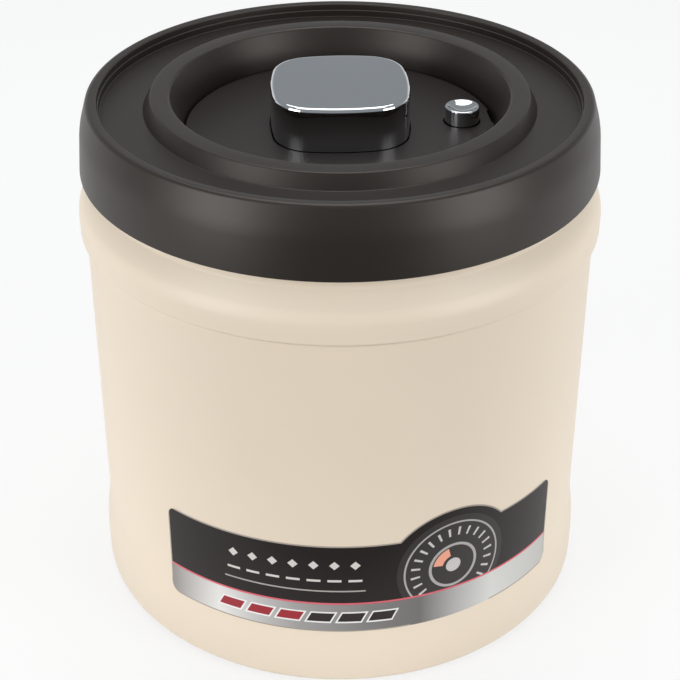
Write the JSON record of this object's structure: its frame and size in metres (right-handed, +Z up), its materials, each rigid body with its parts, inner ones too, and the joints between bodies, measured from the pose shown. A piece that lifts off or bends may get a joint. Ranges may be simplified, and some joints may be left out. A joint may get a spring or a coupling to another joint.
{
  "type": "vacuum seal canister",
  "caption": "Round cream food canister with a steel liner and a dark brown lid that holds a square chrome pump button and a small round release button.",
  "frame": {"origin": "centre of the base, on the surface the canister stands on", "axes": "+Z up, out of the lid. -Y is the front, with the label. +X is the right, with the release button."},
  "size_m": [0.1532, 0.1532, 0.1598],
  "materials": {
    "cream_shell": "satin moulded plastic, cream",
    "foot_rubber": "matt",
    "liner_steel": "brushed stainless",
    "silicone": "soft matt silicone, off-white",
    "label_film": "printed film, dark with a silver-grey band and a thin red line",
    "brown_lid": "fine satin texture, dark brown",
    "inner_plastic": "satin, off-white",
    "pump_plastic": "plain white",
    "carrier_plastic": "plain dark brown",
    "valve_rubber": "soft silicone, pale grey",
    "felt": "soft pad, white",
    "chrome_plate": "bright plated",
    "screw_steel": "zinc-plated",
    "spring_steel": "stainless"
  },
  "bodies": {
    "canister": {"outer_shell": "cream_shell", "base_cover": "cream_shell", "foot_ring": "foot_rubber", "steel_liner": "liner_steel", "liner_gasket": "silicone", "neck_ring": "cream_shell", "front_label": "label_film"},
    "lid": {"lid_cover": "brown_lid", "center_plate": "brown_lid", "lid_base": "inner_plastic", "main_seal": "silicone", "lid_screws": "screw_steel", "pump_cylinder": "pump_plastic", "cylinder_gasket": "silicone", "cylinder_screws": "screw_steel", "intake_valve": "valve_rubber", "dust_filter": "felt", "filter_cap": "inner_plastic", "pump_spring": "spring_steel", "release_spring": "spring_steel"},
    "pump": {"pump_button": "chrome_plate", "button_carrier": "carrier_plastic", "button_screw": "screw_steel", "pump_piston": "pump_plastic", "piston_seal": "valve_rubber", "outlet_valve": "valve_rubber"},
    "release": {"release_button": "chrome_plate", "release_stem": "spring_steel", "release_plug": "valve_rubber"}
  },
  "joints": [
    {"name": "lid_lift", "type": "slide", "parent": "canister", "child": "lid", "axis": [0, 0, 1], "range_m": [0, 0.045]},
    {"name": "pump_press", "type": "slide", "parent": "lid", "child": "pump", "axis": [0, 0, -1], "range_m": [0, 0.011], "stiffness_N_per_m": 600, "springref_m": -0.012, "deforming": ["pump_spring"]},
    {"name": "release_press", "type": "slide", "parent": "lid", "child": "release", "axis": [0, 0, -1], "range_m": [0, 0.0025], "stiffness_N_per_m": 250, "springref_m": -0.005, "deforming": ["release_spring"]}
  ]
}
